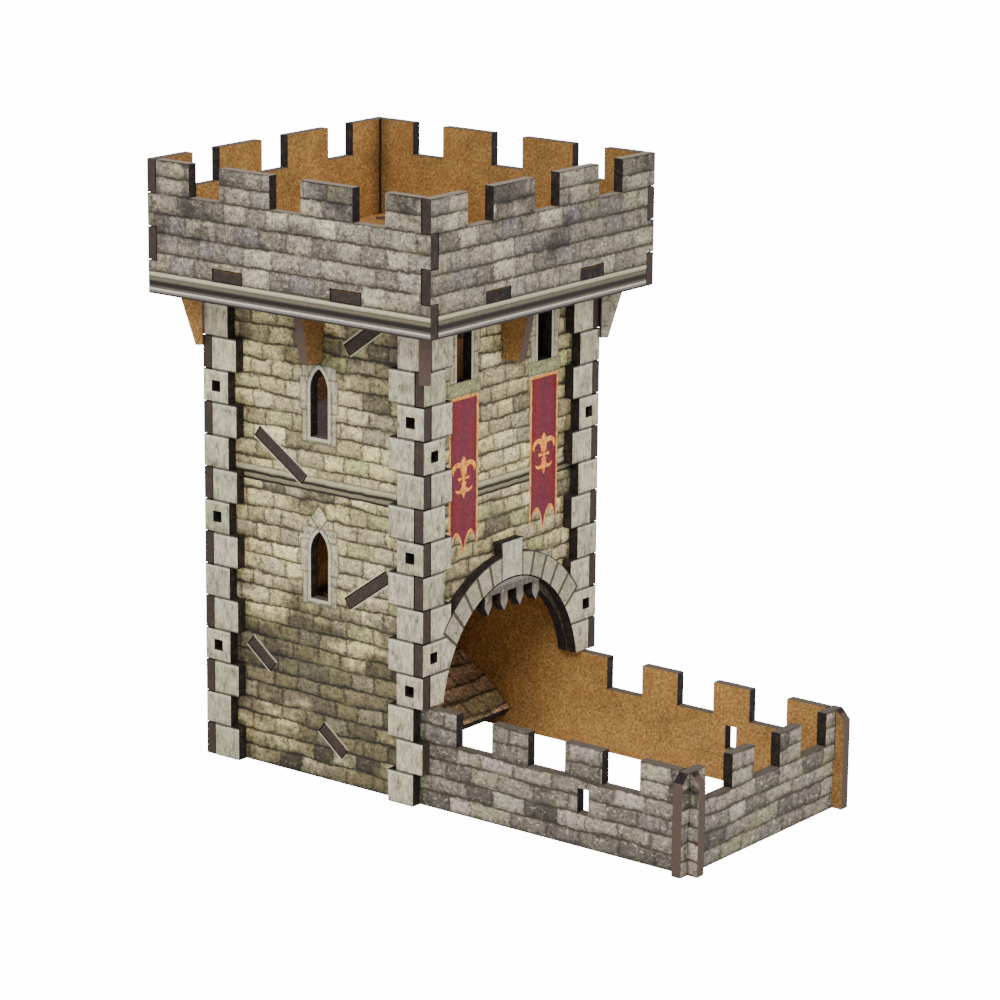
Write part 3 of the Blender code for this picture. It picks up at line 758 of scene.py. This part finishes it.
WELD_REACH = 0.00001                       # metres
BEVEL_WIDTH = 0.00012


def soften(board):
    """A small round on every cut edge."""
    weld = board.modifiers.new("weld", "WELD")
    weld.merge_threshold = WELD_REACH
    flat = board.modifiers.new("flat", "DECIMATE")
    flat.decimate_type = "DISSOLVE"
    flat.angle_limit = math.radians(0.5)
    bevel = board.modifiers.new("bevel", "BEVEL")
    bevel.width = BEVEL_WIDTH
    bevel.segments = 2
    bevel.limit_method = "ANGLE"
    bevel.angle_limit = math.radians(40)
    bevel.harden_normals = True


# ---------------------------------------------------------------- printed banners

BANNER_HALF = 6.35
BANNER_TOP = 111.9
BANNER_TIP = 66.9
BANNER_NOTCH = 5.2                         # height of the two arched notches
BORDER = 0.75
INK = 0.03                                 # thickness of one layer of ink
CHARGE_Z = 89.0                            # middle of the fleur-de-lis
CHARGE_SQUASH = 0.82
CLOTH_TONES = ((0.0, (92, 24, 34)), (0.25, (128, 32, 40)), (0.5, (108, 34, 52)), (0.75, (130, 34, 42)),
               (1.0, (90, 24, 32)))
PURPLE = srgb(100, 40, 62)
GOLD_TONES = ((0.32, (196, 88, 32)), (0.5, (244, 150, 50)), (0.68, (255, 206, 98)))
INK_RELIEF = 0.00008                       # metres


def banner_outline(inset, steps=8):
    """The banner's edge, drawn in by an inset: square on top, with two arched notches below."""
    half = BANNER_HALF - inset
    drop = inset * 2.4
    foot = []
    for start, end, low, high in ((-half, 0.0, 1.8, 0.0), (0.0, half, 0.0, 1.8)):
        for n in range(steps):
            share = n / steps
            arch = BANNER_NOTCH * math.sin(math.pi * share) ** 0.7
            foot.append((start + (end - start) * share, BANNER_TIP + drop + low + (high - low) * share
                         + arch * (1.0 - inset * 0.18)))
    foot.append((half, BANNER_TIP + drop + 1.8))
    return foot + [(half, BANNER_TOP - inset), (-half, BANNER_TOP - inset)]


def petal(foot, tip, half, steps=10):
    """A pointed leaf from foot to tip, both heights on the centre line."""
    heights = [foot + (tip - foot) * n / steps for n in range(steps + 1)]
    widths = [half * math.sin(math.pi * n / steps) ** 0.8 for n in range(steps + 1)]
    right = list(zip(widths, heights))
    return right + [(-u, v) for u, v in reversed(right[1:-1])]


def scroll(centre, radius, width, start, end, steps=14):
    """A curled leaf: an arc that is thickest in its middle and pointed at both ends."""
    outer = []
    inner = []
    for n in range(steps + 1):
        angle = math.radians(start + (end - start) * n / steps)
        swell = width / 2 * math.sin(math.pi * n / steps) ** 0.7
        for side, reach in ((outer, radius + swell), (inner, radius - swell)):
            side.append((centre[0] + reach * math.cos(angle), centre[1] + reach * math.sin(angle)))
    return outer + inner[-2:0:-1]


def lily():
    """Outlines of a plain fleur-de-lis about CHARGE_Z."""
    shapes = [petal(0.1, 7.6, 1.5), petal(-7.0, -0.1, 1.0),
              [(-2.4, -0.5), (2.4, -0.5), (2.4, 0.5), (-2.4, 0.5)]]
    right = [scroll((2.6, 2.8), 2.2, 1.7, 235, -35), scroll((2.1, -2.7), 1.7, 1.25, 120, 345)]
    left = [[(-u, v) for u, v in shape] for shape in right]
    return [[(u, v * CHARGE_SQUASH + CHARGE_Z) for u, v in shape] for shape in shapes + right + left]


def print_layer(bm, outline, centre, low, high, material):
    """One flat layer of ink on the wall's face, from low to high above it."""
    verts = [bm.verts.new((centre * MM + u * MM, WALL_LOW.y - low * MM, v * MM)) for u, v in outline]
    face = bm.faces.new(verts)
    face.material_index = material
    raised = bmesh.ops.extrude_face_region(bm, geom=[face])["geom"]
    moved = [item for item in raised if isinstance(item, bmesh.types.BMVert)]
    bmesh.ops.translate(bm, vec=(0, -(high - low) * MM, 0), verts=moved)
    for item in raised:
        if isinstance(item, bmesh.types.BMFace):
            item.material_index = material


def ink_material(name):
    """A new material with its shader arithmetic and the pattern's two axes."""
    made = bpy.data.materials.new(name)
    made.use_nodes = True
    p = Paint(made.node_tree)
    place = p.scale(p.node("ShaderNodeTexCoord", {}, "Object"), 1 / MM)
    return made, p, p.dot(place, X), p.dot(place, Z)


def finish_ink(p, made, u, v, colour):
    """Matt ink with the fine relief of the board under it."""
    shader = made.node_tree.nodes["Principled BSDF"]
    p.feed(shader.inputs["Base Color"], colour)
    grain = p.noise(u, v, 1.6, 1.6, 5.0, 4.0, 0.7)
    p.feed(shader.inputs["Roughness"], grain * 0.3 + 0.5)
    p.feed(shader.inputs["Normal"], p.node("ShaderNodeBump", {"Height": grain, "Distance": INK_RELIEF,
                                                              "Strength": 0.35}))
    shader.inputs["Specular IOR Level"].default_value = 0.35
    return made


def banner_cloth():
    """Crimson ink shading to purple along the middle, with the wall's grain showing through."""
    made, p, u, v = ink_material("banner_cloth")
    fold = (abs(u) - FRONT_WINDOW_X) / BANNER_HALF
    base = p.ramp(fold * 0.5 + 0.5, CLOTH_TONES)
    purple = (p.noise(u, v, 0.12, 0.1, 4.0, 3.0) - 0.3).between(0.05, 0.35)
    base = p.mix(purple * 0.45, base, PURPLE)
    colour = p.scale(base, p.noise(u, v, 0.9, 0.9, 8.0, 4.0, 0.8) * 2.4 - 0.2)
    return finish_ink(p, made, u, v, colour)


def banner_gold():
    """Mottled orange gold."""
    made, p, u, v = ink_material("banner_gold")
    base = p.ramp(p.noise(u, v, 0.7, 0.5, 2.0, 4.0, 0.7), GOLD_TONES)
    return finish_ink(p, made, u, v, mottled(p, u, v, base, 3.0, 1.0, 0.4))


def new_piece(name, bm, materials):
    """A new object from a bmesh, linked to the scene."""
    mesh = bpy.data.meshes.new(name)
    bm.to_mesh(mesh)
    bm.free()
    for material in materials:
        mesh.materials.append(material)
    made = bpy.data.objects.new(name, mesh)
    bpy.context.scene.collection.objects.link(made)
    return made


def banners():
    """Two printed banners under the front windows: gold under crimson under a gold fleur-de-lis.

    Each shape of the fleur-de-lis has its own height, so that no two faces lie in one plane."""
    inks = (banner_gold(), banner_cloth())
    for side, centre in (("left", -FRONT_WINDOW_X), ("right", FRONT_WINDOW_X)):
        bm = bmesh.new()
        print_layer(bm, banner_outline(0.0), centre, 0.0, INK, 0)
        print_layer(bm, banner_outline(BORDER), centre, INK, 2 * INK, 1)
        for number, shape in enumerate(lily()):
            print_layer(bm, shape, centre, 2 * INK, (3 + number * 0.4) * INK, 0)
        bmesh.ops.recalc_face_normals(bm, faces=bm.faces[:])
        banner = new_piece(f"{side}_banner", bm, inks)
        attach(banner, "tower")


# ---------------------------------------------------------------- painted gap shadow

# Dark blocks that paint the shadow in the gap between each corner corbel and the quoins' corner
GAP_SHADOW_HALF = 1.3                            # half of the line's width
GAP_SHADOW_REACH = (-0.08, 0.3)                  # along the diagonal, from the quoins' outer corner
GAP_SHADOW_TONES = ((0.35, (24, 18, 14)), (0.65, (52, 40, 32)))
CORNERS = (("front_left", -1, -1), ("front_right", 1, -1), ("back_left", -1, 1), ("back_right", 1, 1))


def gap_shadow_material():
    """A nearly black, a little shiny material for the painted shadow."""
    made, p, u, v = ink_material("gap_shadow_material")
    grain = p.noise(u, v, 1.2, 1.2, 6.0, 3.0, 0.6)
    shader = made.node_tree.nodes["Principled BSDF"]
    p.feed(shader.inputs["Base Color"], p.ramp(grain, GAP_SHADOW_TONES))
    p.feed(shader.inputs["Roughness"], grain * 0.3 + 0.4)
    return made


def gap_shadow_lines():
    """Dark blocks of painted shadow between each corner corbel and the corner of the quoins."""
    made = gap_shadow_material()
    near, far = ((FACING_HALF * math.sqrt(2) + reach) * MM for reach in GAP_SHADOW_REACH)
    top = (CROWN_FOOT + CORNICE_HEIGHT / 2) * MM
    for name, x, y in CORNERS:
        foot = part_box(f"{name}_corner_corbel")[0].z
        turn = Matrix.Rotation(math.atan2(y, x), 3, "Z")
        bm = bmesh.new()
        bmesh.ops.create_cube(bm, size=1.0)
        bmesh.ops.scale(bm, vec=(far - near, 2 * GAP_SHADOW_HALF * MM, top - foot), verts=bm.verts)
        bmesh.ops.translate(bm, vec=((far + near) / 2, 0, (top + foot) / 2), verts=bm.verts)
        bmesh.ops.rotate(bm, cent=(0, 0, 0), matrix=turn, verts=bm.verts)
        bmesh.ops.translate(bm, vec=(0, CENTRE_Y, 0), verts=bm.verts)
        # a dark block standing in as painted shadow
        shadow_piece = new_piece(f"{name}_gap_shadow_line", bm, (made,))
        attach(shadow_piece, "tower")


# ---------------------------------------------------------------- studio

SKY_STRENGTH = 0.8
LAMP_TARGET = (0, 0, 0.08)
LAMPS = (("key", (-0.95, -0.45, 1.05), 0.7, 15.5), ("fill", (0.4, -1.2, 0.7), 0.9, 5.0))
FLOOR_SIZE = 8.0
FLOOR_Z = -0.0002                          # just below the tower's foot
FLOOR_GLOW = 14.0                          # the floor looks as white as the photograph's ground


def camera():
    """The photograph's viewpoint, aimed by yaw, dip and roll."""
    yaw = math.radians(CAMERA_YAW)
    dip = math.radians(CAMERA_DIP)
    roll = math.radians(CAMERA_ROLL)
    forward = Vector((math.sin(yaw) * math.cos(dip), math.cos(yaw) * math.cos(dip), -math.sin(dip)))
    level = Vector((math.cos(yaw), -math.sin(yaw), 0))
    upward = level.cross(forward)
    right = level * math.cos(roll) + upward * math.sin(roll)
    above = upward * math.cos(roll) - level * math.sin(roll)
    data = bpy.data.cameras.new("camera")
    data.lens = CAMERA_LENS
    data.sensor_width = SENSOR
    made = bpy.data.objects.new("camera", data)
    made.matrix_world = Matrix((right, above, -forward)).transposed().to_4x4()
    made.location = Vector(CAMERA_PLACE) + Vector((0, CENTRE_Y, 0))
    bpy.context.scene.collection.objects.link(made)
    bpy.context.scene.camera = made


def area_light(name, place, target, size, power):
    """A round soft lamp at a place, aimed at a target."""
    data = bpy.data.lights.new(name, "AREA")
    data.shape = "DISK"
    data.size = size
    data.energy = power
    made = bpy.data.objects.new(name, data)
    made.location = place
    made.rotation_euler = (Vector(target) - Vector(place)).to_track_quat("-Z", "Y").to_euler()
    bpy.context.scene.collection.objects.link(made)


def studio():
    """A white floor under an even sky and two soft lamps."""
    world = bpy.data.worlds.new("studio")
    world.use_nodes = True
    world.node_tree.nodes["Background"].inputs["Color"].default_value = (1.0, 1.0, 1.0, 1.0)
    world.node_tree.nodes["Background"].inputs["Strength"].default_value = SKY_STRENGTH
    bpy.context.scene.world = world
    for name, place, size, power in LAMPS:
        area_light(name, place, LAMP_TARGET, size, power)
    bpy.ops.mesh.primitive_grid_add(x_subdivisions=2, y_subdivisions=2, size=FLOOR_SIZE)
    floor = bpy.context.active_object
    floor.name = "floor"
    floor.location.z = FLOOR_Z
    made = bpy.data.materials.new("floor_white")
    made.use_nodes = True
    shader = made.node_tree.nodes["Principled BSDF"]
    shader.inputs["Base Color"].default_value = (0.93, 0.93, 0.93, 1.0)
    shader.inputs["Roughness"].default_value = 0.85
    shader.inputs["Emission Color"].default_value = (1.0, 1.0, 1.0, 1.0)
    p = Paint(made.node_tree)
    seen = p.node("ShaderNodeLightPath", {}, "Is Camera Ray")
    p.feed(shader.inputs["Emission Strength"], seen * FLOOR_GLOW)
    floor.data.materials.append(made)


camera()
finish_boards()
banners()
gap_shadow_lines()
studio()
